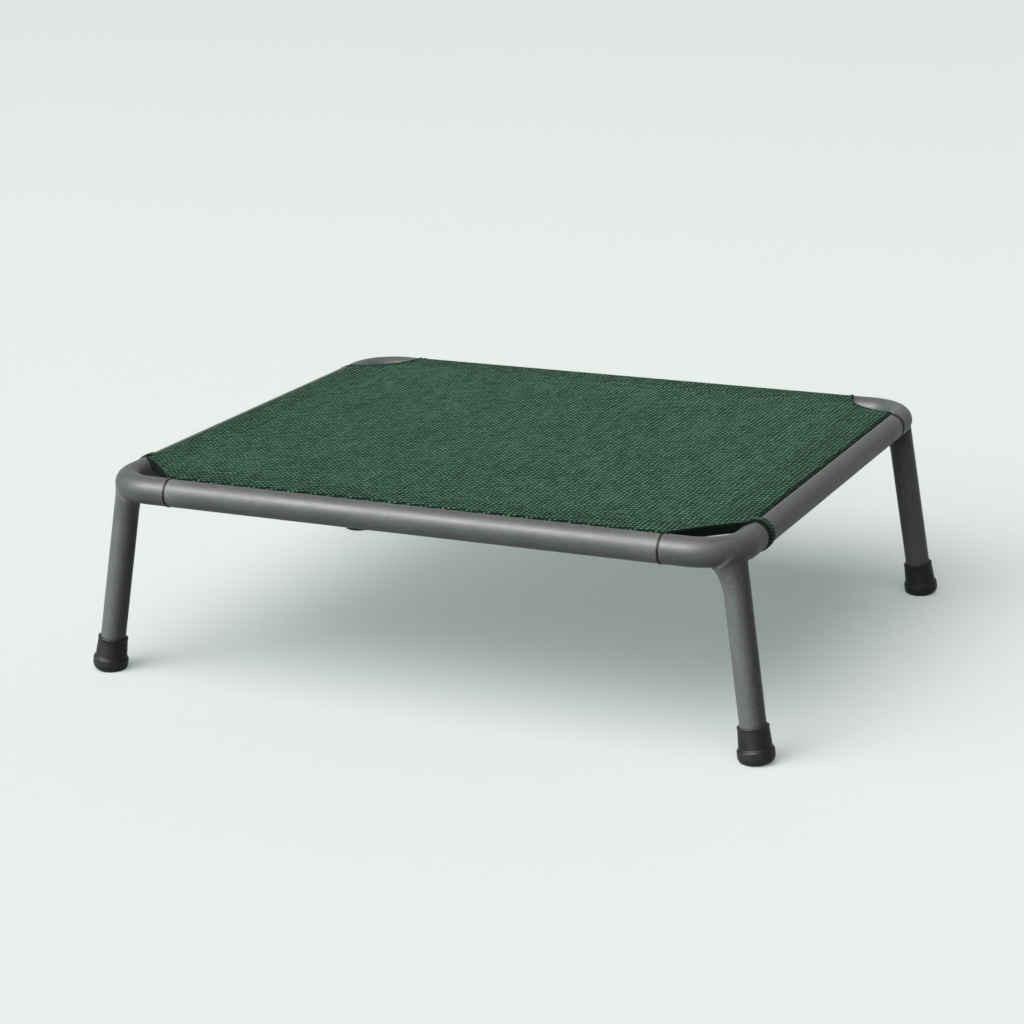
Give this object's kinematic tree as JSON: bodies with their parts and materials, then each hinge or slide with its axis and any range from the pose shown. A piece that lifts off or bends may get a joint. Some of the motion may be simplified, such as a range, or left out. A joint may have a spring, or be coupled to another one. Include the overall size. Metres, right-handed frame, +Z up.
{
  "type": "raised dog cot",
  "caption": "Raised dog cot: a woven sling stretched in slotted tube rails, with bent corner tubes, splayed welded legs and rubber feet.",
  "frame": {"origin": "on the floor, below the middle of the bed", "axes": "+X along the bed to its right, +Y to its back, +Z up"},
  "size_m": [0.6466, 0.5306, 0.1891],
  "materials": {
    "frame_coat": "satin powder coat",
    "joint_ring": "matte",
    "steel": "zinc plated",
    "rubber": "matte moulded",
    "sling_cloth": "coated woven mesh",
    "binding_tape": "woven tape",
    "spline_plastic": "extruded"
  },
  "bodies": {
    "root": {"front_rail": "frame_coat", "back_rail": "frame_coat", "left_rail": "frame_coat", "right_rail": "frame_coat", "elbow_front_left": "frame_coat", "elbow_front_right": "frame_coat", "elbow_back_left": "frame_coat", "elbow_back_right": "frame_coat", "leg_front_left": "frame_coat", "leg_front_right": "frame_coat", "leg_back_left": "frame_coat", "leg_back_right": "frame_coat", "leg_weld_front_left": "frame_coat", "leg_weld_front_right": "frame_coat", "leg_weld_back_left": "frame_coat", "leg_weld_back_right": "frame_coat", "foot_front_left": "rubber", "foot_front_right": "rubber", "foot_back_left": "rubber", "foot_back_right": "rubber", "washer_front_left": "steel", "washer_front_right": "steel", "washer_back_left": "steel", "washer_back_right": "steel", "front_rail_left_spigot": "steel", "front_rail_right_spigot": "steel", "back_rail_left_spigot": "steel", "back_rail_right_spigot": "steel", "left_rail_front_spigot": "steel", "left_rail_back_spigot": "steel", "right_rail_front_spigot": "steel", "right_rail_back_spigot": "steel", "front_rail_left_ring": "joint_ring", "front_rail_right_ring": "joint_ring", "back_rail_left_ring": "joint_ring", "back_rail_right_ring": "joint_ring", "left_rail_front_ring": "joint_ring", "left_rail_back_ring": "joint_ring", "right_rail_front_ring": "joint_ring", "right_rail_back_ring": "joint_ring", "lock_screws": "steel", "sling": "sling_cloth", "spline_front": "spline_plastic", "spline_back": "spline_plastic", "spline_left": "spline_plastic", "spline_right": "spline_plastic", "binding_front_left": "binding_tape", "binding_front_right": "binding_tape", "binding_back_left": "binding_tape", "binding_back_right": "binding_tape", "loop_left": "sling_cloth", "loop_right": "sling_cloth"}
  },
  "joints": []
}
